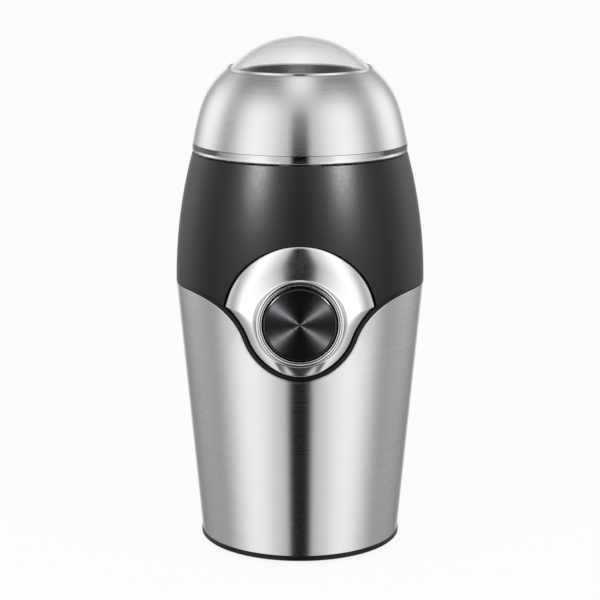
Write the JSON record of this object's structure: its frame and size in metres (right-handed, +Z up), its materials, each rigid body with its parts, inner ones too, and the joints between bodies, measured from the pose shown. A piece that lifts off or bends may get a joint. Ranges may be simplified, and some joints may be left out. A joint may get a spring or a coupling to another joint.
{
  "type": "electric spice grinder",
  "caption": "Upright electric spice grinder: tapered steel sleeve, black housing, front push button in a curved bezel, lift-off dome lid over a bowl with a spinning blade.",
  "frame": {"origin": "on the motor shaft axis in the plane of the feet, which is the bottom centre of the part", "axes": "+Z up along the motor shaft, -Y towards the button and the viewer, +X to the right of the front view"},
  "size_m": [0.1, 0.1021, 0.2055],
  "materials": {
    "black_abs": "fine matte",
    "black_trim": "satin",
    "brushed_stainless": "brushed round the axis",
    "satin_chrome": "satin",
    "bright_chrome": "polished",
    "spun_black": "spun, black anodised",
    "clear_san": "clear",
    "pressed_stainless": "satin",
    "plated_steel": "zinc plated",
    "silicon_steel": "stamped laminations",
    "copper_wire": "enamelled",
    "copper": "turned",
    "sintered_bronze": "porous",
    "die_cast": "as cast",
    "nylon": "moulded",
    "black_nylon": "moulded",
    "black_rubber": "matte",
    "white_silicone": "matte",
    "carbon": "pressed",
    "yellow_case": "moulded"
  },
  "bodies": {
    "base": {"housing": "black_abs", "body_sleeve": "brushed_stainless", "seam_trim": "black_trim", "button_bezel": "satin_chrome", "button_ring": "bright_chrome", "power_switch": "black_nylon", "switch_terminals": "copper", "grinding_bowl": "pressed_stainless", "bowl_gasket": "white_silicone", "shaft_seal": "nylon", "bowl_nut": "plated_steel", "stator_core": "silicon_steel", "field_coils": "copper_wire", "lower_bracket": "die_cast", "upper_bracket": "die_cast", "lower_bearing": "sintered_bronze", "upper_bearing": "sintered_bronze", "motor_screws": "plated_steel", "motor_mounts": "black_rubber", "mount_screws": "plated_steel", "brush_holders": "black_nylon", "carbon_brushes": "carbon", "brush_springs": "plated_steel", "base_cover": "black_abs", "rubber_feet": "black_rubber", "base_screws": "plated_steel", "cord_inlet": "black_rubber", "suppression_capacitor": "yellow_case", "interlock_switch": "black_nylon", "button_spring": "plated_steel", "interlock_spring": "plated_steel"},
    "lid": {"lid_dome": "clear_san", "lid_sleeve": "brushed_stainless"},
    "rotor": {"motor_shaft": "plated_steel", "armature_core": "silicon_steel", "armature_windings": "copper_wire", "commutator": "copper", "cooling_fan": "nylon", "grinding_blade": "pressed_stainless", "blade_hub": "plated_steel", "blade_nut": "plated_steel"},
    "button": {"button_cap": "black_abs", "button_face": "spun_black", "button_clip": "plated_steel", "switch_plunger": "nylon"},
    "interlock": {"interlock_rod": "nylon"}
  },
  "joints": [
    {"name": "lid_lift", "type": "slide", "parent": "base", "child": "lid", "axis": [0, 0, 1], "range_m": [0, 0.06]},
    {"name": "rotor_spin", "type": "hinge", "parent": "base", "child": "rotor", "pos_m": [0, 0, 0.06], "axis": [0, 0, 1], "continuous": true},
    {"name": "button_press", "type": "slide", "parent": "base", "child": "button", "axis": [0, 1, 0], "range_m": [0, 0.003], "stiffness_N_per_m": 900, "springref_m": -0.003, "deforming": ["button_spring"]},
    {"name": "interlock_slide", "type": "slide", "parent": "base", "child": "interlock", "axis": [0, 0, 1], "range_m": [0, 0.003], "deforming": ["interlock_spring"]}
  ],
  "couplings": [
    {"joint": "interlock_slide", "follows": "lid_lift", "ratio": 0.05}
  ]
}
